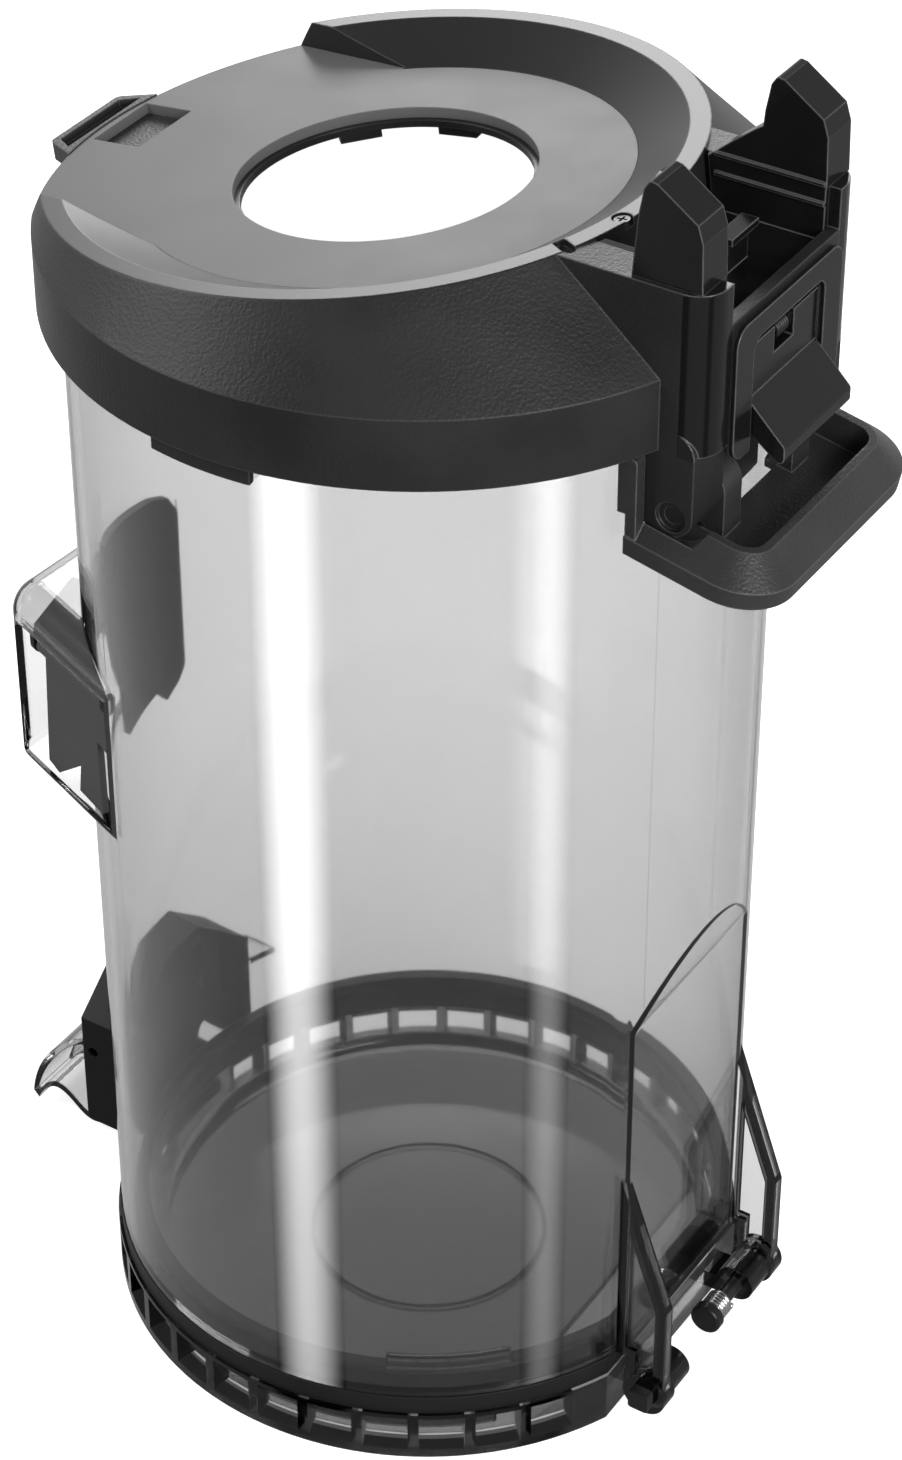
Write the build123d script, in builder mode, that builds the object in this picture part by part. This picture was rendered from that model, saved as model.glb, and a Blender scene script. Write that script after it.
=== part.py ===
from build123d import *
import math
import os

os.makedirs("parts", exist_ok=True)

# The bin stands on its base door. The origin is on the bin's axis, in the plane it stands on.
# +X points to the latch tower and the door hinge, -X to the base latch, and +Z is up.

# Clear bin wall
bin_radius = 75.0
wall = 2.4
wall_bottom = 19.0
wall_top = 277.0
hinge_flat_x = bin_radius - 4.4
hinge_flat_top = 115.0
hinge_flat_peak = 131.0
shelf_top = 40.0
shelf_thickness = 1.6

# Clearances
fit_gap = 0.05
slide_gap = 0.4
pin_gap = 0.08
seal_gap = 0.8

# Top collar and the slanted lid
collar_radius = bin_radius + 5.0
collar_bottom = wall_top - 6.5
collar_band = 16.0
collar_skin = 3.6
lid_tilt = 7.25
lid_height = collar_bottom + 30.0
lid_centre = -9.6
rim_centre = -11.5
rim_radius = collar_radius - 11.0
rim_inner_radius = rim_radius - 4.2
rim_clear = 1.0
disc_radius = rim_inner_radius - 12.8
disc_depth = 6.0
disc_thickness = 2.4
floor_skin = 2.6
channel_start = -35.0
channel_near = 45.0
channel_far = 46.0
channel_near_end = 42.6
channel_far_end = 51.5
hole_radius = 31.7
ring_bore = hole_radius - 1.3
ring_depth = 1.6
ring_flange = hole_radius + 4.3
hanger_angles = (96.0, 134.0)
hanger_drop = 4.0
hanger_width = 9.0
rim_slot_width = 3.0
rim_slot_depth = 1.6
screw_head_radius = 1.7
lug_height = 5.2
lug_span = 18.0
vent_start = -collar_radius + 12.5
vent_end = -collar_radius + 0.4
vent_middle = 2.0
vent_half = 9.6
seal_height = 5.0
tab_reach = 7.0
tab_half_width = 12.0
tab_root_half_width = 16.0
tab_thickness = 4.0
tab_frame = 1.5

# Latch tower on the front of the collar
tower_half_width = 30.3
tower_inner_half = 21.6
tower_front = collar_radius + 4.6
tower_top = collar_bottom + 36.3
tower_back = tower_front - 34.6
tower_corner = 6.5
channel_floor = tower_top - 13.2
tower_skin = 2.6
lip_height = channel_floor + 4.2
fin_outer = tower_half_width - 0.9
hook_top = tower_top - 2.2
hook_y = 1.3
hook_half = 5.3
cover_wall = 1.6
cavity_back = tower_front - 6.4
cavity_half = 14.5
cavity_top = collar_bottom + 20.5
bezel_proud = 1.2
bezel_half = 21.4
bezel_top = cavity_top + 5.0
bezel_bottom = collar_bottom - 4.5
ear_inner = 18.2
ear_back = -7.6
ear_front = 4.8
ear_drop = 4.4
ear_corner = 5.0
ear_sweep = 7.6
apron_skin = 1.7
apron_low = 8.5
apron_tongue = 6.6
tongue_low = 22.0

# Release lever in the tower
release_x = tower_front - 2.0
release_z = cavity_top - 4.8
release_pin_radius = 1.2
release_spring_wire = 0.8
spring_room = 4.0
lever_half = 13.8
paddle_top_x = tower_front
paddle_top_z = release_z - 9.2
paddle_slope = 45.0
paddle_tip_x = tower_front + 8.6
paddle_thickness = 5.0

# Grip under the tower
grip_pin_x = bin_radius + 2.4
grip_pin_z = collar_bottom - 14.5
grip_pin_radius = 1.8
grip_lug_radius = 5.2
grip_lug_width = 7.0
grip_half = tower_half_width + 3.9
grip_front = bin_radius + 26.8
grip_slope = 11.5
grip_corner = 13.0
grip_skirt = 4.0
grip_bevel = 6.6
grip_rise = 5.0
grip_floor = 1.8
grip_height = grip_pin_z - 6.4
grip_back = bin_radius + 4.0
grip_clear = 2.0
grip_cut = 40.0
grip_flange = 3.2
grip_flange_top = collar_bottom - 1.5
grip_spring_wire = 0.7

# Inlet duct
duct_bottom = 147.0
duct_top = 193.0
duct_wall = 2.2
duct_corner = 6.0
duct_tangent = 175.4
duct_length = 53.7
duct_inner_angle = -121.5
hood_radius = 7.0
mouth_top = 185.0
guide_wall = 2.0
guide_start = 174.0
guide_end = 216.0
guide_points = [
    (3.7, 144.0),
    (3.7, 187.0),
    (0.5, 192.0),
    (-5.6, 194.7),
    (-35.5, 202.7),
    (-41.2, 186.0),
    (-37.0, 178.0),
    (-26.1, 155.5),
    (-24.5, 142.4),
    (-8.2, 142.8),
    (-4.1, 138.1),
    (1.0, 140.5),
]
roof_corner = (2.0 - bin_radius, 43.5 - bin_radius)
flap_setback = 2.4
flap_thickness = 1.6
flap_side_gap = 2.6
flap_width = 31.0
flap_drop = 32.4
flap_rod_radius = 1.0
flap_lug = 1.6

# Base door
ring_radius = bin_radius + 1.0
ring_height = 13.6
ring_edge_x = hinge_flat_x - 1.2
ring_lip = 2.4
floor_top = 3.2
spigot_radius = bin_radius - 4.4
spigot_wall = 1.8
spigot_top = 22.0
spigot_flat = hinge_flat_x - 4.0
bead_radius = spigot_radius - 4.2
bead_half = 1.8
bead_top = 7.6
shelf_edge = spigot_flat - 17.6
window_count = 36
window_start = 34.0
keeper_span = 10.0
post_width = 2.6
seal_top = 25.0
seal_band_radius = bin_radius + 0.2
groove_radius = 28.3
groove_width = 0.8
groove_depth = 0.5
clip_start = -65.0
clip_end = -42.0
clip_height = 3.6
clip_segments = 4

# Door hinge
hinge_x = bin_radius + 2.8
hinge_z = 9.8
hinge_pin_radius = 2.0
knuckle_radius = 4.8
boss_radius = 5.6
hinge_ear_y = 26.0
hinge_ear_web = 1.6
hinge_ear_rim = 3.4
hinge_ear_boss = 5.0
hinge_ear_top = 74.0
hinge_ear_reach = hinge_x + 4.6
hinge_ear_knee = 37.0
knuckle_width = 8.0
spring_wire = 1.3
spring_turns = 5
spring_start = 3.0

# Base latch
latch_pin_x = -bin_radius - 8.0
latch_pin_z = 37.0
latch_pin_radius = 1.4
latch_half = 14.0
latch_skin = 1.8
spring_bay = 10.0
housing_half = latch_half + spring_bay
housing_top = 60.0
housing_shoulder = 47.0
housing_bottom = 14.0
housing_front = -bin_radius - 11.0
housing_wall = 2.4
housing_plate_x = -bin_radius - 4.0
bearing_rim = 1.6
arch_corner = 8.0
latch_reach = -bin_radius - 36.6
latch_rise = 28.4
latch_toe = 1.8
latch_spring_wire = 0.8
latch_screw_radius = 1.9
latch_screw_head = 1.6
latch_screw_y = 4.9 - housing_half
latch_screw_spots = [(latch_screw_y, housing_shoulder - 5.0), (latch_screw_y, housing_bottom + 9.0)]
keeper_reach = 3.2
keeper_bottom = 4.6
keeper_height = 4.0
keeper_half = 11.0

inner_radius = bin_radius - wall
tilt = math.radians(lid_tilt)
lid_plane = Plane(
    origin=(0, 0, lid_height),
    x_dir=(math.cos(tilt), 0, math.sin(tilt)),
    z_dir=(-math.sin(tilt), 0, math.cos(tilt)),
)


def polar(radius, degrees):
    """Point of the XY plane at a radius and an angle."""
    return (radius * math.cos(math.radians(degrees)), radius * math.sin(math.radians(degrees)))


def outline(plane, points):
    """Closed straight-sided outline on a plane."""
    with BuildSketch(plane) as flat:
        with BuildLine():
            Polyline(*points, close=True)
        make_face()
    return flat.sketch


def side_plane(y):
    """Upright plane across Y, drawn with +X to the right and +Z up."""
    return Plane(origin=(0, y, 0), x_dir=(1, 0, 0), z_dir=(0, -1, 0))


def sector(radius_in, radius_out, start, end, z):
    """Piece of a ring between two angles."""
    with BuildSketch(Plane.XY.offset(z)) as flat:
        with BuildLine():
            outer = CenterArc((0, 0), radius_out, start, end - start)
            inner = CenterArc((0, 0), radius_in, start, end - start)
            Line(outer @ 0, inner @ 0)
            Line(outer @ 1, inner @ 1)
        make_face()
    return flat.sketch


def dee(radius, flat_x, z):
    """Circle with its +X side cut straight."""
    with BuildSketch(Plane.XY.offset(z)) as flat:
        Circle(radius)
        with Locations((flat_x + radius, 0)):
            Rectangle(2 * radius, 2 * radius, mode=Mode.SUBTRACT)
    return flat.sketch


def rod(x, z, radius, y_start, y_end):
    """Round bar along Y."""
    with BuildPart() as bar:
        with BuildSketch(side_plane(y_end)):
            with Locations((x, z)):
                Circle(radius)
        extrude(amount=y_end - y_start)
    return bar.part


def coil(x, z, radius, wire, turns, y_start):
    """Closely wound spring along Y."""
    pitch = wire * 0.92
    with BuildPart() as spring:
        for turn in range(turns):
            centre = y_start + wire / 2 + turn * pitch
            with BuildSketch(Plane(origin=(x, centre, z), x_dir=(1, 0, 0), z_dir=(0, 0, 1))):
                with Locations((radius, 0)):
                    RegularPolygon(wire / 2, 8)
            revolve(axis=Axis((x, centre, z), (0, 1, 0)))
    return spring.part


# Clear bin wall with its hinge flat, hinge ears and tangential inlet duct
tangent_point = Vector(*polar(bin_radius, duct_tangent))
along_duct = Vector(*polar(1.0, duct_tangent + 90.0))
mouth_outer = tangent_point + along_duct * duct_length
mouth_inner = Vector(*polar(bin_radius, duct_inner_angle))
mouth_run = (mouth_outer - mouth_inner).normalized()
inward = Vector(-mouth_run.Y, mouth_run.X) * -1.0


def flat_cutter(x):
    """Side outline of what the hinge flat takes off the wall."""
    rise = hinge_flat_peak - hinge_flat_top
    run = bin_radius - hinge_flat_x
    over = bin_radius
    return outline(
        side_plane(0),
        [
            (x, -1.0),
            (x, hinge_flat_top),
            (x + run, hinge_flat_top + rise),
            (x + run + over, hinge_flat_top + rise + over * rise / run),
            (x + run + over, -1.0),
        ],
    )


def duct_solid(skin, reach, corner):
    """The duct's outer form, or the air space in it, by how far it lies inside the outer faces."""
    side = Vector(*polar(skin, duct_tangent))
    far = mouth_outer - side
    near = mouth_inner + mouth_run * skin
    inside = [
        tangent_point - side,
        Vector(*polar(bin_radius / 2, duct_tangent)),
        Vector(*polar(bin_radius / 2, duct_inner_angle)),
    ]
    if reach > 0:
        corners = [near - inward * reach, far + along_duct * reach, *inside, near]
    else:
        depth = reach + (far - mouth_outer).dot(inward)
        corners = [far - along_duct * (depth / along_duct.dot(inward)), *inside, near - inward * reach]
    top = mouth_top if reach > 0 else duct_top - skin
    with BuildPart() as block:
        base = Plane.XY.offset(duct_bottom + skin)
        extrude(outline(base, [(p.X, p.Y) for p in corners]), amount=top - duct_bottom - skin)
        if reach <= 0:
            mouth_edges = block.edges().filter_by(Axis((0, 0, 0), (mouth_run.X, mouth_run.Y, 0)))
            fillet(mouth_edges.group_by(Axis.Z)[-1], hood_radius - skin)
        long_edges = block.edges().filter_by(Axis((0, 0, 0), (along_duct.X, along_duct.Y, 0)))
        fillet(long_edges.group_by(Axis.Z)[-1], corner)
        long_edges = block.edges().filter_by(Axis((0, 0, 0), (along_duct.X, along_duct.Y, 0)))
        fillet(long_edges.group_by(Axis.Z)[0], corner / 3)
    return block.part


with BuildPart() as bin_core:
    with BuildSketch(Plane.XY.offset(wall_bottom - 1.0)):
        Circle(inner_radius)
    extrude(amount=wall_top - wall_bottom + 2.0)
    extrude(flat_cutter(hinge_flat_x - wall), amount=bin_radius, both=True, mode=Mode.SUBTRACT)

ear_points = [
    (hinge_flat_x - wall / 2, hinge_ear_top),
    (hinge_ear_reach, hinge_ear_knee),
    (hinge_ear_reach, hinge_z),
    (hinge_x - boss_radius, hinge_z),
    (hinge_x - boss_radius, wall_bottom),
    (hinge_flat_x - wall / 2, wall_bottom),
]

with BuildPart() as bin_wall:
    with BuildSketch(Plane.XY.offset(wall_bottom)):
        Circle(bin_radius)
    extrude(amount=wall_top - wall_bottom)
    extrude(flat_cutter(hinge_flat_x), amount=bin_radius, both=True, mode=Mode.SUBTRACT)
    add(duct_solid(0, 0, duct_corner))
    for ear_y in (-hinge_ear_y, hinge_ear_y):
        extrude(outline(side_plane(ear_y), ear_points), amount=hinge_ear_rim / 2, both=True)
        for face_y in (-1, 1):
            with BuildSketch(side_plane(ear_y + face_y * (hinge_ear_web + hinge_ear_rim) / 4)):
                add(outline(Plane.XY, ear_points))
                offset(amount=-hinge_ear_rim * 0.8, kind=Kind.INTERSECTION, mode=Mode.REPLACE)
            extrude(amount=(hinge_ear_rim - hinge_ear_web) / 4 + fit_gap, both=True, mode=Mode.SUBTRACT)
        with BuildSketch(side_plane(ear_y)):
            with Locations((hinge_x, hinge_z)):
                Circle(boss_radius)
        extrude(amount=hinge_ear_boss / 2, both=True)
    with BuildSketch(Plane.XY.offset(shelf_top - shelf_thickness)):
        with Locations((-bin_radius + wall, housing_half + 4.0)):
            Rectangle(10.0, 7.0)
    extrude(amount=shelf_thickness)
    add(bin_core.part, mode=Mode.SUBTRACT)
    add(duct_solid(duct_wall, duct_length / 2, duct_corner - duct_wall), mode=Mode.SUBTRACT)
    add(duct_solid(duct_wall, -duct_wall, duct_corner - duct_wall), mode=Mode.SUBTRACT)
    add(
        rod(hinge_x, hinge_z, hinge_pin_radius + fit_gap, -bin_radius, bin_radius),
        mode=Mode.SUBTRACT,
    )
bin_wall.part.label = "bin_wall"
export_step(bin_wall.part, "parts/bin_wall.step")

# Top collar with the pocket of the lid and the cheeks of the latch tower
cone_bottom = collar_bottom + collar_band


def lid_channel(grow, depth):
    """Outline of the channel that runs out to the rear, on a plane under the rim."""
    end = -collar_radius - 8.0
    return outline(
        lid_plane.offset(-depth),
        [
            (channel_start, -channel_near - grow),
            (end, -channel_near_end - grow),
            (end, channel_far_end + grow),
            (channel_start, channel_far + grow),
        ],
    )


def lid_pocket(grow, depth):
    """Space over the lid plate, or the same space with a skin round it."""
    with BuildPart() as pocket:
        with BuildSketch(lid_plane.offset(-disc_depth)):
            with Locations((lid_centre, 0)):
                Circle(disc_radius + grow)
        with BuildSketch(lid_plane.offset(fit_gap)):
            with Locations((rim_centre, 0)):
                Circle(rim_inner_radius + grow)
        loft()
        with BuildSketch(lid_plane.offset(-depth)):
            with Locations((lid_centre, 0)):
                Circle(disc_radius + grow)
        extrude(amount=depth - disc_depth)
        extrude(lid_channel(grow, depth), amount=depth + collar_band)
    return pocket.part


def cone(band_radius, band_top, top_radius, top_depth):
    """Collar form: a band and the cone that leans over to the slanted rim."""
    with BuildPart() as form:
        with BuildSketch(Plane.XY.offset(band_top)):
            Circle(band_radius)
        with BuildSketch(lid_plane.offset(-top_depth)):
            with Locations((rim_centre, 0)):
                Circle(top_radius)
        loft()
        with BuildSketch(Plane.XY.offset(collar_bottom)):
            Circle(band_radius)
        extrude(amount=band_top - collar_bottom)
    return form.part


plate_depth = disc_depth + disc_thickness
tab_root_x = -(collar_radius + fit_gap) / math.cos(tilt)
floor_depth = plate_depth + floor_skin
tower_length = tower_front - tower_back

with BuildPart() as collar_hollow:
    add(cone(collar_radius - collar_skin, cone_bottom - 2.0, rim_radius - collar_skin, collar_skin))
    add(lid_pocket(floor_skin, floor_depth), mode=Mode.SUBTRACT)
    with BuildSketch(Plane.XY.offset(channel_floor - tower_skin)):
        with Locations(((tower_back + tower_front) / 2, 0)):
            Rectangle(tower_length, 2 * (tower_inner_half + tower_skin))
    extrude(amount=collar_band, mode=Mode.SUBTRACT)

with BuildPart() as ears:
    for side in (-1, 1):
        mid = side * (ear_inner + tower_half_width) / 2
        half = (tower_half_width - ear_inner) / 2
        with BuildSketch(side_plane(mid)):
            ear_height = collar_bottom + ear_corner - grip_pin_z + ear_drop
            ear_x = grip_pin_x + (ear_back + ear_front) / 2
            with Locations((ear_x, grip_pin_z - ear_drop + ear_height / 2)):
                RectangleRounded(ear_front - ear_back, ear_height, ear_corner)
        extrude(amount=half, both=True)
    apron_out = bin_radius + slide_gap + apron_skin
    apron_angle = math.degrees(math.asin((ear_inner + 0.4) / apron_out))
    apron_z = collar_bottom - apron_low
    extrude(sector(bin_radius, apron_out, -apron_angle, apron_angle, apron_z), amount=apron_low + 0.5)
    tongue_angle = math.degrees(math.asin(apron_tongue / apron_out))
    tongue_z = collar_bottom - tongue_low
    extrude(sector(bin_radius, apron_out, -tongue_angle, tongue_angle, tongue_z), amount=tongue_low)

with BuildPart() as tower_channel:
    with BuildSketch(Plane.XY.offset(channel_floor)):
        with Locations(((tower_back + tower_front) / 2 - tower_skin, 0)):
            Rectangle(tower_length, 2 * tower_inner_half)
    extrude(amount=collar_band)
    with BuildSketch(lid_plane.offset(-collar_band)):
        with Locations((rim_centre, 0)):
            Circle(rim_radius)
    extrude(amount=2 * collar_band, mode=Mode.SUBTRACT)

with BuildPart() as tower_openings:
    cavity_depth = tower_front + bezel_proud - cavity_back
    with BuildSketch(Plane.XY.offset(collar_bottom - 1.0)):
        with Locations((cavity_back + cavity_depth / 2, 0)):
            Rectangle(cavity_depth, 2 * cavity_half)
    extrude(amount=cavity_top - collar_bottom + 1.0)
    lip_room = tower_top - lip_height
    with BuildSketch(Plane.XY.offset(lip_height)):
        with Locations((tower_front, 0)):
            Rectangle(4 * tower_skin, 2 * tower_inner_half)
    extrude(amount=lip_room + 1.0)
    add(rod(release_x, release_z, release_pin_radius + fit_gap, -ear_inner, ear_inner))
    for side in (-1, 1):
        y_start = min(side * ear_inner, side * tower_half_width) - 1.0
        y_reach = tower_half_width - ear_inner + 2.0
        add(rod(grip_pin_x, grip_pin_z, grip_pin_radius + fit_gap, y_start, y_start + y_reach))
        y_start = side * (tower_half_width + 0.5) - 1.5
        add(rod(grip_pin_x, grip_pin_z, grip_pin_radius * 1.85, y_start, y_start + 3.0))

rim_edge_x = rim_centre + rim_radius
rim_marks = [(rim_edge_x - 7.3, -26.5, -32.0), (rim_edge_x - 5.9, 11.0, 14.0)]
screw_spots = [(rim_edge_x - 2.9, -12.0)]

with BuildPart() as top_collar:
    add(cone(collar_radius, cone_bottom, rim_radius, 0))
    with BuildSketch(Plane.XY.offset(collar_bottom)):
        with Locations(((tower_back + tower_front) / 2, 0)):
            Rectangle(tower_length, 2 * tower_half_width)
    extrude(amount=tower_top - collar_bottom)
    front_corners = top_collar.edges().filter_by(Axis.Z).group_by(Axis.X)[-1]
    fillet(front_corners, tower_corner)
    add(ears.part)
    for angle in (-92.0, 90.0):
        lug = sector(
            bin_radius + slide_gap,
            collar_radius - collar_skin + 0.8,
            angle - lug_span / 2,
            angle + lug_span / 2,
            collar_bottom - lug_height,
        )
        extrude(lug, amount=lug_height + 1.0)
    add(lid_pocket(0, plate_depth), mode=Mode.SUBTRACT)
    add(collar_hollow.part, mode=Mode.SUBTRACT)
    add(tower_channel.part, mode=Mode.SUBTRACT)
    add(tower_openings.part, mode=Mode.SUBTRACT)
    with BuildSketch(lid_plane.offset(-floor_depth - 1.0)):
        with Locations((lid_centre, 0)):
            Circle(ring_flange)
        with Locations(((vent_start + tab_root_x) / 2 - 1.0, vent_middle)):
            Rectangle(vent_start - tab_root_x + 2.0, 2 * vent_half)
    extrude(amount=floor_skin + 1.0, mode=Mode.SUBTRACT)
    with BuildSketch(lid_plane.offset(-rim_slot_depth)):
        for mark_x, mark_y, mark_turn in rim_marks:
            with Locations(Location((mark_x, mark_y, 0), (0, 0, mark_turn))):
                SlotOverall(6.4, rim_slot_width)
        for spot in screw_spots:
            with Locations(spot):
                Circle(screw_head_radius + slide_gap)
    extrude(amount=2 * rim_slot_depth, mode=Mode.SUBTRACT)
    with BuildSketch(Plane.XY.offset(collar_bottom - 2 * tongue_low)):
        Circle(bin_radius + slide_gap)
    extrude(amount=2 * tongue_low, mode=Mode.SUBTRACT)
top_collar.part.label = "top_collar"
export_step(top_collar.part, "parts/top_collar.step")

with BuildPart() as collar_seal:
    with BuildSketch(Plane.XY.offset(collar_bottom + 1.5)):
        Circle(collar_radius - collar_skin - fit_gap)
        Circle(bin_radius + fit_gap, mode=Mode.SUBTRACT)
    extrude(amount=seal_height)
collar_seal.part.label = "collar_seal"
export_step(collar_seal.part, "parts/collar_seal.step")

# Lid plate with the outlet hole, and the ring under the hole
with BuildPart() as outlet_plate:
    with BuildSketch(lid_plane.offset(-plate_depth)):
        with Locations((lid_centre, 0)):
            Circle(disc_radius - fit_gap)
    extrude(amount=disc_thickness)
    extrude(lid_channel(-fit_gap, plate_depth), amount=disc_thickness)
    with BuildSketch(lid_plane.offset(-plate_depth)):
        with Locations((lid_centre, 0)):
            Circle(hole_radius)
        with Locations(((vent_start + vent_end) / 2, vent_middle)):
            Rectangle(vent_start - vent_end, 2 * vent_half)
    extrude(amount=disc_thickness, mode=Mode.SUBTRACT)
    with BuildSketch(Plane.XY.offset(collar_bottom)):
        Circle(collar_radius - fit_gap)
    extrude(amount=2 * collar_radius, mode=Mode.INTERSECT)
outlet_plate.part.label = "outlet_plate"
export_step(outlet_plate.part, "parts/outlet_plate.step")

with BuildPart() as outlet_ring:
    with BuildSketch(lid_plane.offset(-plate_depth - ring_depth)):
        with Locations((lid_centre, 0)):
            Circle(ring_flange - fit_gap)
            Circle(ring_bore, mode=Mode.SUBTRACT)
    extrude(amount=ring_depth)
    for hanger in hanger_angles:
        with BuildSketch(lid_plane.offset(-plate_depth - hanger_drop)):
            spot = polar(ring_bore + (ring_flange - ring_bore) / 2, hanger)
            with Locations(Location((lid_centre + spot[0], spot[1], 0), (0, 0, hanger))):
                Rectangle((ring_flange - ring_bore) / 2, hanger_width)
        extrude(amount=hanger_drop)
outlet_ring.part.label = "outlet_ring"
export_step(outlet_ring.part, "parts/outlet_ring.step")

with BuildPart() as cover_screw:
    with BuildSketch(lid_plane.offset(-rim_slot_depth)):
        with Locations(screw_spots):
            Circle(screw_head_radius)
    extrude(amount=rim_slot_depth * 0.8)
    with BuildSketch(lid_plane.offset(-rim_slot_depth * 0.6)):
        with Locations(screw_spots):
            Rectangle(screw_head_radius * 1.3, 0.5)
            Rectangle(0.5, screw_head_radius * 1.3)
    extrude(amount=rim_slot_depth, mode=Mode.SUBTRACT)
cover_screw.part.label = "cover_screw"
export_step(cover_screw.part, "parts/cover_screw.step")

# Loop at the rear of the collar with its inset panel
tab_top = disc_depth - 0.3
tab_end_x = tab_root_x - tab_reach
tab_outline = [
    (tab_root_x + 3.0, -tab_root_half_width - 1.0),
    (tab_end_x, -tab_half_width),
    (tab_end_x, tab_half_width),
    (tab_root_x + 3.0, tab_root_half_width + 1.0),
]

tab_panel = [
    (tab_root_x - tab_frame, -tab_root_half_width + 2 * tab_frame),
    (tab_end_x + tab_frame, -tab_half_width + tab_frame),
    (tab_end_x + tab_frame, tab_half_width - tab_frame),
    (tab_root_x - tab_frame, tab_root_half_width - 2 * tab_frame),
]

with BuildPart() as rear_tab:
    extrude(outline(lid_plane.offset(-tab_top - tab_thickness), tab_outline), amount=tab_thickness)
    tip_edges = rear_tab.edges().filter_by(Axis(lid_plane.origin, lid_plane.z_dir)).group_by(Axis.X)[0]
    fillet(tip_edges, 2.0)
    with BuildSketch(lid_plane.offset(-tab_top - tab_thickness / 2)):
        add(outline(Plane.XY, tab_panel))
    extrude(amount=tab_thickness, mode=Mode.SUBTRACT)
    with BuildSketch(Plane.XY.offset(collar_bottom)):
        Circle(collar_radius + fit_gap)
    extrude(amount=2 * collar_band, mode=Mode.SUBTRACT)
    with BuildSketch(lid_plane.offset(-floor_depth + fit_gap)):
        with Locations(((tab_root_x - 1.0 + vent_start) / 2, vent_middle)):
            Rectangle(vent_start - tab_root_x + 1.0, 2 * (vent_half - fit_gap))
    extrude(amount=floor_skin - 2 * fit_gap)
rear_tab.part.label = "rear_tab"
export_step(rear_tab.part, "parts/rear_tab.step")

# Glossy cover of the tower: a tray in the channel, two fins and the far web
fin_base = tower_top + fit_gap
fin_profile = [
    (tower_front - 18.1, fin_base),
    (tower_front - 17.0, fin_base + 13.3),
    (tower_front - 15.9, fin_base + 19.4),
    (tower_front - 14.7, fin_base + 21.3),
    (tower_front - 13.0, fin_base + 21.0),
    (tower_front - 4.0, fin_base + 14.8),
    (tower_front - 2.8, fin_base + 11.0),
    (tower_front - 2.5, fin_base),
]
far_web = [
    (tower_front - 29.2, fin_base),
    (tower_front - 24.2, fin_base + 4.4),
    (tower_front - 18.8, fin_base + 8.8),
    (tower_front - 14.7, fin_base + 11.5),
    (tower_front - 14.7, fin_base),
]
tray_front = tower_front - tower_skin - fit_gap
tray_inner = tower_inner_half - fit_gap - cover_wall

with BuildPart() as tower_cover:
    with BuildSketch(Plane.XY.offset(channel_floor + fit_gap)):
        with Locations(((tower_back + tray_front) / 2, 0)):
            Rectangle(tray_front - tower_back, 2 * (tower_inner_half - fit_gap))
    extrude(amount=tower_top - channel_floor)
    with BuildSketch(Plane.XY.offset(channel_floor + fit_gap + cover_wall)):
        with Locations((tray_front - tower_length, 0)):
            Rectangle(2 * tower_length + 10.0, 2 * tray_inner)
    extrude(amount=tower_top, mode=Mode.SUBTRACT)
    with BuildSketch(lid_plane.offset(-collar_band)):
        with Locations((rim_centre, 0)):
            Circle(rim_radius + 2 * fit_gap)
    extrude(amount=2 * collar_band, mode=Mode.SUBTRACT)
    for side in (-1, 1):
        middle = side * (tray_inner + fin_outer) / 2
        extrude(outline(side_plane(middle), fin_profile), amount=(fin_outer - tray_inner) / 2, both=True)
    web_middle = tray_inner + cover_wall
    extrude(outline(side_plane(web_middle), far_web), amount=cover_wall, both=True)
    catch_hook = [
        (tower_front - 14.0, channel_floor + cover_wall),
        (tower_front - 14.0, hook_top),
        (tower_front - 10.2, hook_top),
        (tower_front - 10.2, hook_top - cover_wall),
        (tower_front - 12.4, hook_top - cover_wall),
        (tower_front - 12.4, channel_floor + cover_wall),
    ]
    extrude(outline(side_plane(hook_y), catch_hook), amount=hook_half, both=True)
    with BuildSketch(lid_plane.offset(-collar_band)):
        with Locations((rim_centre, 0)):
            Circle(rim_radius + rim_clear)
    extrude(amount=collar_band + slide_gap, mode=Mode.SUBTRACT)
    ledge_length = tower_length - 9.6
    for ledge_drop in (3.8, -0.6):
        with BuildSketch(Plane.XY.offset(tower_top - ledge_drop)):
            with Locations((tray_front - ledge_length / 2, tray_inner)):
                Rectangle(ledge_length, 1.2)
        extrude(amount=0.8)
    top_edges = tower_cover.edges().filter_by(Axis.Y).group_by(Axis.Z)[-1]
    fillet(top_edges, 0.8)
tower_cover.part.label = "tower_cover"
export_step(tower_cover.part, "parts/tower_cover.step")

# Frame round the opening of the release lever
with BuildPart() as front_bezel:
    with BuildSketch(Plane.YZ.offset(tower_front + fit_gap)):
        with Locations((0, (bezel_top + bezel_bottom) / 2)):
            RectangleRounded(2 * bezel_half, bezel_top - bezel_bottom, 4.0)
        with Locations((0, (cavity_top + bezel_bottom) / 2 - 8.0)):
            RectangleRounded(2 * cavity_half, cavity_top - bezel_bottom + 16.0, 3.0, mode=Mode.SUBTRACT)
    extrude(amount=bezel_proud)
front_bezel.part.label = "front_bezel"
export_step(front_bezel.part, "parts/front_bezel.step")

# Release lever, its pin and its spring
slope = math.radians(paddle_slope)
lever_back = release_x - release_pin_radius - 1.2
lever_top = release_z + 2.4


def on_paddle(x):
    """Height of the paddle's upper face."""
    return paddle_top_z - (x - paddle_top_x) * math.tan(slope)


lever_profile = [
    (lever_back, paddle_top_z - 2.0),
    (lever_back, lever_top),
    (tower_front, lever_top),
    (tower_front, on_paddle(tower_front)),
    (paddle_tip_x, on_paddle(paddle_tip_x)),
    (paddle_tip_x, on_paddle(paddle_tip_x) - paddle_thickness),
    (tower_front, paddle_top_z - paddle_thickness / math.cos(slope)),
]

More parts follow.
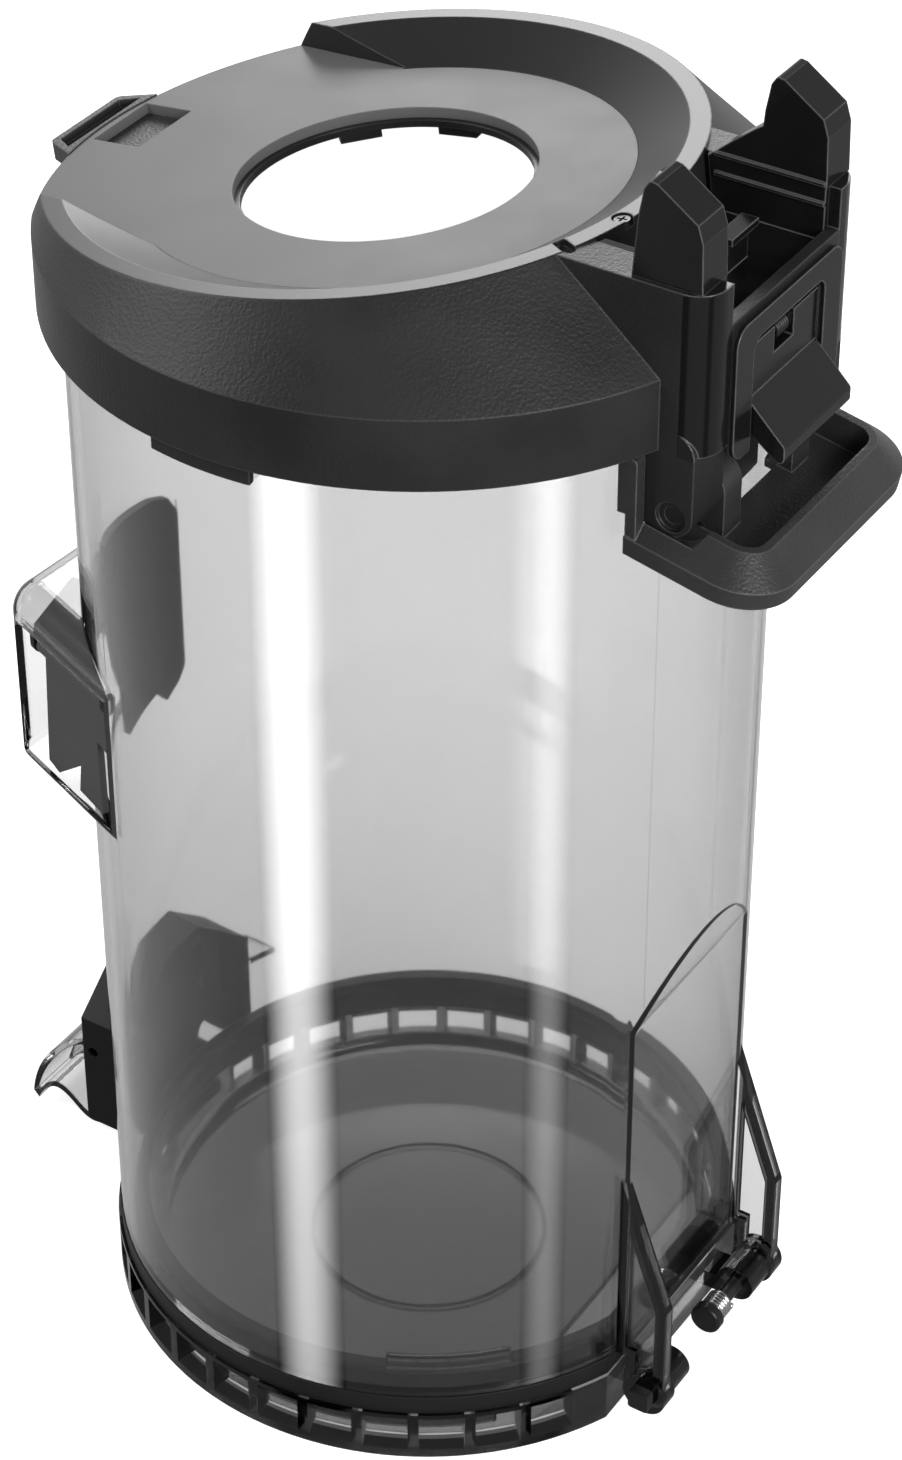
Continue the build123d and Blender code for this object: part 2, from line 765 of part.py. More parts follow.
with BuildPart() as release_lever:
    extrude(outline(side_plane(0), lever_profile), amount=lever_half, both=True)
    tip_edges = release_lever.edges().filter_by(Axis.Y).group_by(Axis.X)[-1]
    fillet(tip_edges, 1.2)
    with BuildSketch(side_plane(0)):
        with Locations((release_x, release_z + 1.0)):
            Rectangle(10.0, 2 * (release_pin_radius + 3.4))
    extrude(amount=spring_room, both=True, mode=Mode.SUBTRACT)
    add(
        rod(release_x, release_z, release_pin_radius + pin_gap, -lever_half - 1.0, lever_half + 1.0),
        mode=Mode.SUBTRACT,
    )
release_lever.part.label = "release_lever"
export_step(release_lever.part, "parts/release_lever.step")

with BuildPart() as release_pin:
    add(rod(release_x, release_z, release_pin_radius, -ear_inner + 0.4, ear_inner - 0.4))
release_pin.part.label = "release_pin"
export_step(release_pin.part, "parts/release_pin.step")

with BuildPart() as release_spring:
    coil_radius = release_pin_radius + release_spring_wire / 2 + fit_gap
    coil_start = -3 * release_spring_wire
    add(coil(release_x, release_z, coil_radius, release_spring_wire, 6, coil_start))
release_spring.part.label = "release_spring"
export_step(release_spring.part, "parts/release_spring.step")

# Grip under the tower, its pins and its spring
grip_tilt = math.radians(grip_slope)
grip_plane = Plane(
    origin=(bin_radius, 0, grip_height),
    x_dir=(math.cos(grip_tilt), 0, -math.sin(grip_tilt)),
    z_dir=(math.sin(grip_tilt), 0, math.cos(grip_tilt)),
)
grip_length = grip_front - bin_radius


def grip_outline(inset, height):
    """The grip's outline seen from above, open toward the bin."""
    with BuildSketch(grip_plane.offset(height)) as flat:
        with BuildLine():
            half = grip_half - inset
            front = grip_length - inset
            back = -12.0
            bend = max(grip_corner - inset, 2.0)
            FilletPolyline(
                (back, -half),
                (front, -half),
                (front, half),
                (back, half),
                radius=bend,
            )
            Line((back, half), (back, -half))
        make_face()
    return flat.sketch


lug_outer = ear_inner - slide_gap
lug_inner = lug_outer - grip_lug_width
pocket_inset = grip_bevel + grip_floor

with BuildPart() as grip:
    extrude(grip_outline(0, -grip_skirt), amount=grip_skirt)
    add(grip_outline(0, 0))
    add(grip_outline(grip_bevel, grip_rise))
    loft()
    pocket = grip_outline(pocket_inset, grip_floor - grip_skirt)
    extrude(pocket, amount=3 * grip_rise, mode=Mode.SUBTRACT)
    for side in (-1, 1):
        flange_y = side * (tower_half_width + slide_gap + grip_flange / 2)
        with BuildSketch(side_plane(flange_y)):
            with Locations((bin_radius - 6.0, (grip_height + grip_flange_top) / 2 - 1.0)):
                RectangleRounded(5.2, grip_flange_top - grip_height + 2.0, 1.2)
        extrude(amount=grip_flange / 2, both=True)
        with BuildSketch(side_plane(side * (lug_inner + lug_outer) / 2)):
            with Locations((grip_pin_x, grip_pin_z)):
                Circle(grip_lug_radius)
            with Locations((grip_pin_x + grip_lug_radius / 2, grip_pin_z - grip_lug_radius)):
                Rectangle(grip_lug_radius, 2 * grip_lug_radius)
        extrude(amount=grip_lug_width / 2, both=True)
    with BuildSketch(Plane.XY.offset(grip_pin_z - grip_cut)):
        Circle(bin_radius + grip_clear)
        with Locations((grip_back - grip_cut / 2, 0)):
            Rectangle(grip_cut, 2 * lug_inner)
    extrude(amount=grip_cut, mode=Mode.SUBTRACT)
    with BuildSketch(Plane.XY.offset(grip_pin_z - 1.0)):
        Circle(bin_radius + slide_gap)
    extrude(amount=grip_cut, mode=Mode.SUBTRACT)
    for side in (-1, 1):
        start = min(side * lug_outer, side * (tower_half_width + slide_gap))
        ear_room = tower_half_width + slide_gap - lug_outer
        add(
            rod(grip_pin_x, grip_pin_z, ear_sweep, start, start + ear_room),
            mode=Mode.SUBTRACT,
        )
    add(
        rod(grip_pin_x, grip_pin_z, grip_pin_radius + pin_gap, -lug_outer - 1.0, lug_outer + 1.0),
        mode=Mode.SUBTRACT,
    )
grip.part.label = "grip"
export_step(grip.part, "parts/grip.step")

pin_end = lug_inner - 5 * grip_spring_wire
pin_head = tower_half_width - 1.0
with BuildPart() as grip_pins:
    add(rod(grip_pin_x, grip_pin_z, grip_pin_radius, -pin_head, -pin_end))
    add(rod(grip_pin_x, grip_pin_z, grip_pin_radius, pin_end, pin_head))
grip_pins.part.label = "grip_pins"
export_step(grip_pins.part, "parts/grip_pins.step")

with BuildPart() as grip_spring:
    coil_radius = grip_pin_radius + grip_spring_wire / 2 + fit_gap
    coil_start = -pin_end - 4.4 * grip_spring_wire
    add(coil(grip_pin_x, grip_pin_z, coil_radius, grip_spring_wire, 4, coil_start))
grip_spring.part.label = "grip_spring"
export_step(grip_spring.part, "parts/grip_spring.step")

# Base door with its windowed ring, floor, bead and hinge arms
with BuildPart() as base_door:
    extrude(dee(ring_radius, ring_edge_x, 0), amount=ring_height)
    extrude(dee(spigot_radius, spigot_flat, ring_height), amount=spigot_top - ring_height)
    inner_dee = spigot_radius - spigot_wall
    inner_flat = spigot_flat - spigot_wall
    extrude(dee(inner_dee, inner_flat, floor_top), amount=spigot_top, mode=Mode.SUBTRACT)
    window_width = 2 * math.pi * ring_radius / window_count - post_width
    window_height = ring_height - ring_lip - ring_lip / 2
    pocket_depth = ring_radius - spigot_radius + 1.0
    with BuildSketch(Plane.XY.offset(ring_lip)):
        for window in range(window_count):
            angle = (window + 0.5) * 360.0 / window_count
            spot = polar(spigot_radius + pocket_depth / 2, angle)
            if window_start < angle < 360.0 - window_start and abs(angle - 180.0) > keeper_span:
                with Locations(Location((*spot, 0), (0, 0, angle))):
                    Rectangle(pocket_depth, window_width)
    extrude(amount=window_height, mode=Mode.SUBTRACT)
    with BuildSketch(Plane.XZ):
        with BuildLine():
            inner_x = bead_radius - bead_half
            outer_x = bead_radius + bead_half
            Polyline(
                (inner_x, bead_top - bead_half),
                (inner_x, floor_top - 0.5),
                (outer_x, floor_top - 0.5),
                (outer_x, bead_top - bead_half),
            )
            ThreePointArc(
                (outer_x, bead_top - bead_half),
                (bead_radius, bead_top),
                (inner_x, bead_top - bead_half),
            )
        make_face()
    revolve(axis=Axis.Z)
    with BuildSketch(Plane.XY.offset(floor_top - 0.5)):
        add(dee(inner_dee + 0.5, inner_flat + 0.5, 0))
        with Locations((shelf_edge - 2 * ring_radius, 0)):
            Rectangle(4 * ring_radius, 4 * ring_radius, mode=Mode.SUBTRACT)
    extrude(amount=bead_top - floor_top + 0.5)
    with BuildSketch(Plane.XY.offset(floor_top - groove_depth)):
        Circle(groove_radius + groove_width)
        Circle(groove_radius, mode=Mode.SUBTRACT)
    extrude(amount=groove_depth, mode=Mode.SUBTRACT)
    for side in (-1, 1):
        arm_outer = hinge_ear_y - hinge_ear_boss / 2 - slide_gap
        arm_y = side * (arm_outer - knuckle_width / 2)
        with BuildSketch(side_plane(arm_y)):
            with Locations((hinge_x, hinge_z)):
                Circle(knuckle_radius)
            with Locations(((ring_edge_x + hinge_x) / 2 - 0.5, hinge_z - knuckle_radius / 2)):
                Rectangle(hinge_x - ring_edge_x + 1.0, knuckle_radius)
        extrude(amount=knuckle_width / 2, both=True)
    add(
        rod(hinge_x, hinge_z, hinge_pin_radius + pin_gap, -hinge_ear_y, hinge_ear_y),
        mode=Mode.SUBTRACT,
    )
base_door.part.label = "base_door"
export_step(base_door.part, "parts/base_door.step")

seal_radius = inner_radius - seal_gap
seal_flat = hinge_flat_x - wall - seal_gap
with BuildPart() as door_seal:
    band_top = wall_bottom - slide_gap
    extrude(dee(seal_band_radius, ring_edge_x - slide_gap, ring_height), amount=band_top - ring_height)
    extrude(dee(seal_radius, seal_flat, band_top), amount=seal_top - band_top)
    fillet(door_seal.edges().group_by(Axis.Z)[-1], 1.1)
    spigot_hole = dee(spigot_radius + fit_gap, spigot_flat + fit_gap, ring_height)
    extrude(spigot_hole, amount=spigot_top + fit_gap - ring_height, mode=Mode.SUBTRACT)
    lip_radius = spigot_radius - spigot_wall - 0.6
    lip_flat = spigot_flat - spigot_wall - 0.6
    extrude(dee(lip_radius, lip_flat, spigot_top), amount=seal_top - spigot_top, mode=Mode.SUBTRACT)
door_seal.part.label = "door_seal"
export_step(door_seal.part, "parts/door_seal.step")

with BuildPart() as seal_clip:
    clip_bottom = seal_top + fit_gap
    strip = sector(seal_radius - 2.0, seal_radius - 0.3, clip_start, clip_end, clip_bottom)
    extrude(strip, amount=clip_height)
    for cut in range(1, clip_segments):
        angle = clip_start + (clip_end - clip_start) * cut / clip_segments
        with BuildSketch(Plane.XY.offset(clip_bottom + 1.0)):
            with Locations(Location((*polar(seal_radius - 2.0, angle), 0), (0, 0, angle))):
                Rectangle(2.2, 0.7)
        extrude(amount=clip_height, mode=Mode.SUBTRACT)
seal_clip.part.label = "seal_clip"
export_step(seal_clip.part, "parts/seal_clip.step")

with BuildPart() as latch_keeper:
    keeper_angle = math.degrees(math.asin(keeper_half / ring_radius))
    keeper_out = ring_radius + keeper_reach
    keeper_low = 180.0 - keeper_angle
    keeper_high = 180.0 + keeper_angle
    keeper = sector(ring_radius + fit_gap, keeper_out, keeper_low, keeper_high, keeper_bottom)
    extrude(keeper, amount=keeper_height)
    chamfer(latch_keeper.edges().group_by(Axis.Z)[-1].sort_by(Axis.X)[0], 1.2)
latch_keeper.part.label = "latch_keeper"
export_step(latch_keeper.part, "parts/latch_keeper.step")

# Pins, spring and cap of the door hinge
boss_outer = hinge_ear_y + hinge_ear_boss / 2
with BuildPart() as hinge_stub:
    add(rod(hinge_x, hinge_z, hinge_pin_radius, -boss_outer - 1.0, -arm_outer + knuckle_width + 0.5))
    with BuildSketch(side_plane(-boss_outer - fit_gap)):
        with Locations((hinge_x, hinge_z)):
            RectangleRounded(2 * hinge_pin_radius + 1.2, 2 * hinge_pin_radius + 1.2, 0.8)
    extrude(amount=2.6)
hinge_stub.part.label = "hinge_stub"
export_step(hinge_stub.part, "parts/hinge_stub.step")

with BuildPart() as hinge_spindle:
    add(rod(hinge_x, hinge_z, hinge_pin_radius, spring_start - 1.6, boss_outer + 1.0))
hinge_spindle.part.label = "hinge_spindle"
export_step(hinge_spindle.part, "parts/hinge_spindle.step")

with BuildPart() as hinge_spring:
    coil_radius = hinge_pin_radius + spring_wire / 2 + fit_gap
    add(coil(hinge_x, hinge_z, coil_radius, spring_wire, spring_turns, spring_start))
hinge_spring.part.label = "hinge_spring"
export_step(hinge_spring.part, "parts/hinge_spring.step")

with BuildPart() as spring_cap:
    add(rod(hinge_x, hinge_z, knuckle_radius - 0.9, spring_start - 2.8, spring_start - fit_gap))
    fillet(spring_cap.edges().group_by(Axis.Y)[0], 0.8)
    add(
        rod(hinge_x, hinge_z, hinge_pin_radius + fit_gap, spring_start - 1.6, spring_start),
        mode=Mode.SUBTRACT,
    )
spring_cap.part.label = "spring_cap"
export_step(spring_cap.part, "parts/spring_cap.step")

# Arch on the rear wall that carries the latch lever
arch_points = [
    (-housing_half, housing_bottom),
    (-housing_half, housing_shoulder),
    (-housing_half / 3, housing_top),
    (housing_half / 3, housing_top),
    (housing_half, housing_shoulder),
    (housing_half, housing_bottom),
]
rear_plane = Plane(origin=(housing_front, 0, 0), x_dir=(0, 1, 0), z_dir=(1, 0, 0))
bearing_inner = latch_half + slide_gap
housing_depth = -housing_front - bin_radius / 2
with BuildSketch(rear_plane) as arch:
    with BuildLine():
        Polyline(*arch_points, close=True)
    make_face()
    fillet(arch.vertices().filter_by(lambda corner: corner.Z > housing_bottom + 1.0), arch_corner)

with BuildPart() as latch_housing:
    extrude(arch.sketch, amount=housing_depth)
    with BuildSketch(rear_plane):
        add(outline(Plane.XY, arch_points))
        fillet(vertices().filter_by(lambda corner: corner.Y > housing_bottom + 1.0), arch_corner)
        offset(amount=-housing_wall, kind=Kind.INTERSECTION, mode=Mode.REPLACE)
        with Locations((0, housing_bottom)):
            Rectangle(2 * (housing_half - housing_wall), 3 * housing_wall)
    extrude(amount=housing_depth, mode=Mode.SUBTRACT)
    with BuildSketch(Plane.YZ.offset(housing_plate_x)):
        with Locations((17.4 - housing_half, (housing_bottom + housing_top) / 2 - 2.0)):
            Rectangle(2 * (housing_half - 8.8), housing_top - housing_bottom - 6.0)
        hole_y = housing_half - 15.0
        with Locations((hole_y, housing_shoulder - 3.0), (hole_y, housing_bottom + 12.0)):
            Circle(4.0, mode=Mode.SUBTRACT)
    extrude(amount=bin_radius / 2)
    for side in (-1, 1):
        with BuildSketch(side_plane(side * (bearing_inner + housing_wall / 2))):
            with Locations((latch_pin_x, latch_pin_z)):
                Circle(latch_pin_radius + bearing_rim)
            with Locations((latch_pin_x + bin_radius / 4, latch_pin_z)):
                Rectangle(bin_radius / 2, 2 * (latch_pin_radius + bearing_rim))
            with Locations((latch_pin_x + 2.0 + bin_radius / 4, (latch_pin_z + housing_top - 7.0) / 2)):
                Rectangle(bin_radius / 2, housing_top - 7.0 - latch_pin_z)
        extrude(amount=housing_wall / 2, both=True)
    with BuildSketch(Plane.XY):
        Circle(bin_radius + fit_gap)
    extrude(amount=2 * housing_top, mode=Mode.SUBTRACT)
    with BuildSketch(Plane.XY):
        Circle(seal_band_radius + seal_gap)
    extrude(amount=wall_bottom + slide_gap, mode=Mode.SUBTRACT)
    add(
        rod(latch_pin_x, latch_pin_z, latch_pin_radius + fit_gap, -bin_radius, bin_radius),
        mode=Mode.SUBTRACT,
    )
latch_housing.part.label = "latch_housing"
export_step(latch_housing.part, "parts/latch_housing.step")

# Latch lever: an upright arm inside the arch, and the thumb hook outside it
claw_x = -ring_radius - keeper_reach - slide_gap
arm_front = latch_pin_x - 2.2
arm_back = latch_pin_x + 2.6


def hook(skin):
    """Side outline of the lever, or of the pocket that leaves a rim round its thumb hook."""
    with BuildSketch(side_plane(0)) as flat:
        with BuildLine():
            crown = Spline(
                (arm_front, latch_rise - 0.6 - skin),
                (latch_reach + 16.6, latch_rise - skin),
                (latch_reach + 8.0 + 0.7 * skin, latch_rise - 7.0 - 0.7 * skin),
                (latch_reach + 2.2 + 0.9 * skin, latch_rise - 16.4 - 0.4 * skin),
                (latch_reach + skin, latch_toe + 1.8 + 1.2 * skin),
            )
            belly = Spline(
                (latch_reach + 1.6 + 0.6 * skin, latch_toe + 2.0 * skin),
                (latch_reach + 4.2 + 0.1 * skin, latch_toe + 4.2 + skin),
                (latch_reach + 7.8, latch_toe + 6.3 + skin),
                (latch_reach + 11.6 + 0.3 * skin, latch_toe + 4.8 + skin),
                (latch_reach + 15.2 + 0.3 * skin, latch_toe + 1.8 + skin),
                (latch_reach + 21.6, latch_toe + 0.8 + skin),
            )
            Line(crown @ 1, belly @ 0)
            inner_x = arm_back - 3.0 - skin
            if skin > 0:
                rest = [(inner_x, latch_toe + 0.8 + skin), (inner_x, latch_rise - 0.6 - skin)]
            else:
                rest = [
                    (claw_x, latch_toe + 0.8),
                    (claw_x, latch_toe + 2.6),
                    (inner_x, latch_toe + 4.4),
                    (inner_x, latch_rise / 2),
                    (arm_back, latch_rise - 4.0),
                    (arm_back, latch_pin_z),
                    (arm_front, latch_pin_z),
                    crown @ 0,
                ]
            Polyline(belly @ 1, *rest)
        make_face()
    return flat.sketch


with BuildPart() as latch_lever:
    extrude(hook(0), amount=latch_half, both=True)
    web_half = 1.1
    for side in (-1, 1):
        with BuildSketch(side_plane(side * (latch_half + web_half) / 2)):
            add(hook(latch_skin))
        extrude(amount=(latch_half - web_half) / 2, both=True, mode=Mode.SUBTRACT)
    add(rod(latch_pin_x, latch_pin_z, latch_pin_radius + 2.0, -latch_half, latch_half))
    add(
        rod(latch_pin_x, latch_pin_z, latch_pin_radius + pin_gap, -latch_half, latch_half),
        mode=Mode.SUBTRACT,
    )
latch_lever.part.label = "latch_lever"
export_step(latch_lever.part, "parts/latch_lever.step")

latch_pin_half = housing_half - housing_wall
with BuildPart() as latch_pin:
    add(rod(latch_pin_x, latch_pin_z, latch_pin_radius, -latch_pin_half, latch_pin_half))
latch_pin.part.label = "latch_pin"
export_step(latch_pin.part, "parts/latch_pin.step")

with BuildPart() as latch_spring:
    coil_radius = latch_pin_radius + latch_spring_wire / 2 + fit_gap
    coil_start = -latch_pin_half + 0.3
    coil_room = latch_pin_half - bearing_inner - housing_wall
    coil_turns = max(2, round(coil_room / latch_spring_wire) - 1)
    add(coil(latch_pin_x, latch_pin_z, coil_radius, latch_spring_wire, coil_turns, coil_start))
latch_spring.part.label = "latch_spring"
export_step(latch_spring.part, "parts/latch_spring.step")

with BuildPart() as latch_screws:
    head_plane = Plane.YZ.offset(housing_plate_x - latch_screw_head)
    with BuildSketch(head_plane):
        with Locations(*latch_screw_spots):
            Circle(latch_screw_radius)
    extrude(amount=latch_screw_head)
    with BuildSketch(head_plane):
        with Locations(*latch_screw_spots):
            Rectangle(latch_screw_radius * 1.3, 0.6)
            Rectangle(0.6, latch_screw_radius * 1.3)
    extrude(amount=latch_screw_head / 2, mode=Mode.SUBTRACT)
latch_screws.part.label = "latch_screws"
export_step(latch_screws.part, "parts/latch_screws.step")

# Inlet guide, the rod of the flap and the flap
roof_bottom = mouth_top - 0.6
rod_z = roof_bottom - flap_rod_radius - 1.2
flap_start = mouth_inner + inward * flap_setback + mouth_run * flap_side_gap
flap_end = flap_start + mouth_run * flap_width
guide_out = inner_radius - fit_gap * 2
guide_in = guide_out - guide_wall


def flap_plane(along):
    """Upright plane across the flap's hinge line, at a distance along it."""
    start = flap_start + mouth_run * along
    return Plane(
        origin=(start.X, start.Y, rod_z),
        x_dir=(inward.X, inward.Y, 0),
        z_dir=(-mouth_run.X, -mouth_run.Y, 0),
    )


with BuildPart() as inlet_guide:
    guide_low = min(point[1] for point in guide_points)
    guide_high = max(point[1] for point in guide_points)
    ring_piece = sector(guide_in, guide_out, guide_start, guide_end, guide_low)
    extrude(ring_piece, amount=guide_high - guide_low)
    extrude(outline(Plane.YZ, guide_points), amount=-bin_radius, mode=Mode.INTERSECT)
    with BuildSketch(Plane.XY.offset(roof_bottom)):
        with BuildLine():
            root = polar(guide_out - guide_wall / 2, guide_end - 11.0)
            Polyline(
                (flap_start.X, flap_start.Y),
                (flap_end.X, flap_end.Y),
                roof_corner,
                root,
            )
            Line(root, polar(guide_out, 219.0))
            Line(polar(guide_out, 219.0), (flap_start.X, flap_start.Y))
        make_face()
    extrude(amount=guide_wall)
    for along in (flap_lug / 2, flap_width - flap_lug / 2):
        with BuildSketch(flap_plane(along)):
            Circle(flap_rod_radius + 1.2)
            with Locations((0, (roof_bottom - rod_z) / 2 + 0.2)):
                Rectangle(2 * flap_rod_radius + 2.4, roof_bottom - rod_z + 0.4)
            Circle(flap_rod_radius + fit_gap, mode=Mode.SUBTRACT)
        extrude(amount=flap_lug / 2, both=True)
inlet_guide.part.label = "inlet_guide"
export_step(inlet_guide.part, "parts/inlet_guide.step")

with BuildPart() as flap_rod:
    with BuildSketch(flap_plane(flap_width / 2)):
        Circle(flap_rod_radius)
    extrude(amount=flap_width / 2, both=True)
flap_rod.part.label = "flap_rod"
export_step(flap_rod.part, "parts/flap_rod.step")

flap_face = Plane(
    origin=(flap_start.X, flap_start.Y, rod_z),
    x_dir=(mouth_run.X, mouth_run.Y, 0),
    z_dir=(inward.X, inward.Y, 0),
)
flap_low = -flap_drop
near_edge = flap_lug + slide_gap
far_edge = flap_width - flap_lug - slide_gap
with BuildPart() as inlet_flap:
    with BuildSketch(flap_face):
        with BuildLine():
            Polyline(
                (near_edge, 0),
                (near_edge, flap_low * 0.42),
                (near_edge + 4.4, flap_low * 0.39),
                (near_edge + 4.0, flap_low),
                (near_edge + 13.6, flap_low * 0.98),
                (near_edge + 12.5, flap_low * 0.75),
                (far_edge - 4.4, flap_low),
                (far_edge, flap_low * 0.97),
                (far_edge - 2.0, 0),
                close=True,
            )
        make_face()
    extrude(amount=flap_thickness / 2, both=True)
    with BuildSketch(flap_plane(flap_width / 2)):
        Circle(flap_rod_radius + 0.9)
    extrude(amount=(far_edge - near_edge) / 2, both=True)
    with BuildSketch(flap_plane(flap_width / 2)):
        Circle(flap_rod_radius + pin_gap)
    extrude(amount=flap_width / 2, both=True, mode=Mode.SUBTRACT)
inlet_flap.part.label = "inlet_flap"
export_step(inlet_flap.part, "parts/inlet_flap.step")
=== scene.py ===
import math

import bmesh
import bpy
from mathutils import Matrix, Vector


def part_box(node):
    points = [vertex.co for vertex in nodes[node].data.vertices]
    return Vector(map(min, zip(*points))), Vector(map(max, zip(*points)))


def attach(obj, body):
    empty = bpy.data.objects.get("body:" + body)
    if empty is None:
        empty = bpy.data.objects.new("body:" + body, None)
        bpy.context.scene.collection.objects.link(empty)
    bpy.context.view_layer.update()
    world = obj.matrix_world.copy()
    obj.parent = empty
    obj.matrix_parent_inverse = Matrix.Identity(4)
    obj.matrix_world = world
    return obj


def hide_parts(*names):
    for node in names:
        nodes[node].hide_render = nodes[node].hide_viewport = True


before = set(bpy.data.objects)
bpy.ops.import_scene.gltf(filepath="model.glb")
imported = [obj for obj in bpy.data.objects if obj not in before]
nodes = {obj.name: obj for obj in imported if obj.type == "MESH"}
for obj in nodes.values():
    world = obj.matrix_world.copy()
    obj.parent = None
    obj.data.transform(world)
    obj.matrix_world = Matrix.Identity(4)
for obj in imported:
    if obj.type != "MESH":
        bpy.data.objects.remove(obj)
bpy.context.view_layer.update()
MM = 0.001

# Camera, from the photograph: focal length in pixels of the 902 x 1460 image, place in metres
IMAGE_HEIGHT = 1460
FOCAL_PIXELS = 4000
FILM = 36.0
CAMERA_PLACE = (0.3932, -0.6055, 0.6910)
CAMERA_PITCH = 36.63
CAMERA_HEADING = 32.54
CAMERA_ROLL = -0.13
TO_CAMERA = CAMERA_HEADING - 90.0

# Parts of the pieces that have a finish of their own, and the top of the clear wall's painted shade, in
# metres
RIM_CENTRE_X = -11.41 * MM
RIM_SQUEEZE = 1.008
RIM_RADIUS = 69.1 * MM
RIM_LOW = 285.0 * MM
PILLAR_FRONT = 78.3 * MM
PILLAR_SIDE = 21.5 * MM
PILLAR_LOW = 270.4 * MM
POST_RADIUS = 71.2 * MM
POST_TOP = 13.7 * MM
BEAD_INNER = 64.4 * MM
BEAD_OUTER = 68.4 * MM
DOOR_FLOOR_TOP = 3.3 * MM
GROOVE_INNER = 28.2 * MM
GROOVE_OUTER = 29.2 * MM
EAR_MIDDLE = 26.0 * MM
EAR_RIM_START = 1.0 * MM
EAR_RIM_END = 3.0 * MM
EAR_BACK_X = 71.4 * MM
# Height up to which the clear plastic carries a painted shade
SHADE_TOP = 130.0 * MM

# Detail of the finishes: noise scales per metre, radii in metres
GRAIN_SCALE = 1500.0
FINE_GRAIN_SCALE = 3300.0
BLOTCH_SCALE = 38.0
FLOW_SCALE = 60.0
PITTING_SCALE = 900.0
PITTING_DEPTH = 0.02 * MM
STREAK_SCALE = 2500.0
CLOUD_SCALE = 22.0
SCRATCH_SCALE = 420.0
SCRATCH_ROUGHNESS = 0.07
EDGE_RADIUS = 0.5 * MM
SMOOTH_EDGE_RADIUS = 0.4 * MM
CLEAR_EDGE_RADIUS = 0.7 * MM

# Grey levels and roughness of the finishes' parts, with the levels of the painted highlights along edges
GRAIN_ROUGHNESS = 0.42
# Painted highlight along grained edges, partly also wear
WEAR_AND_GLINT_EDGE_LIFT = 6.0
SATIN_EDGE_GLINT = 3.0
SATIN_ROUGHNESS = 0.36
POLISHED_BLACK = 0.006
# Painted highlight along polished edges
POLISHED_EDGE_GLINT = 0.13
POLISHED_ROUGHNESS = 0.14
POST_GREY = 0.02
BEAD_GREY = 0.055
DOOR_FLOOR_GREY = 0.13
EAR_RIM_GREY = 0.015
FLOOR_GREY = 0.8

# Light: levels of the floor and of the world, and the heading of the world's bright side in degrees
FLOOR_GLOW = 0.64
FLOOR_HALF = 4.0
WORLD_LIGHT = 0.5
BACK_HEADING = 128.0
FRONT_LEVEL = 0.28
BACK_LEVEL = 0.95
CEILING_SHARE = 0.17
LOW_FRONT_LEVEL = 0.30
LOW_BACK_LEVEL = 0.56

# Pieces whose polished tops would mirror the back lamp
POLISHED_PIECES = ("tower_cover", "front_bezel", "release_lever")


def rotation(degrees, direction):
    """Turn about one axis as a 4 x 4 matrix."""
    return Matrix.Rotation(math.radians(degrees), 4, direction)


def make_camera():
    """The photograph's view."""
    data = bpy.data.cameras.new("view")
    data.sensor_width = FILM
    data.lens = FILM * FOCAL_PIXELS / IMAGE_HEIGHT
    data.clip_start = 0.01
    data.clip_end = 20.0
    camera = bpy.data.objects.new("view", data)
    bpy.context.scene.collection.objects.link(camera)
    tilt = rotation(90 - CAMERA_PITCH, "X") @ rotation(CAMERA_ROLL, "Z")
    camera.matrix_world = Matrix.Translation(CAMERA_PLACE) @ rotation(CAMERA_HEADING, "Z") @ tilt
    bpy.context.scene.camera = camera


def area_lamp(name, position, target, size, power):
    """Soft square lamp that faces a point."""
    data = bpy.data.lights.new(name, "AREA")
    data.energy = power
    data.size = size
    lamp = bpy.data.objects.new(name, data)
    bpy.context.scene.collection.objects.link(lamp)
    lamp.location = position
    away = Vector(position) - Vector(target)
    lamp.rotation_euler = away.to_track_quat("Z", "Y").to_euler()
    lamp.visible_camera = False
    return lamp


def link_object(name, mesh):
    """New object in the scene."""
    piece = bpy.data.objects.new(name, mesh)
    bpy.context.scene.collection.objects.link(piece)
    return piece


def quad(name, corners):
    """Flat four-sided mesh."""
    mesh = bpy.data.meshes.new(name)
    mesh.from_pydata(corners, [], [tuple(range(len(corners)))])
    return link_object(name, mesh)


# Material building


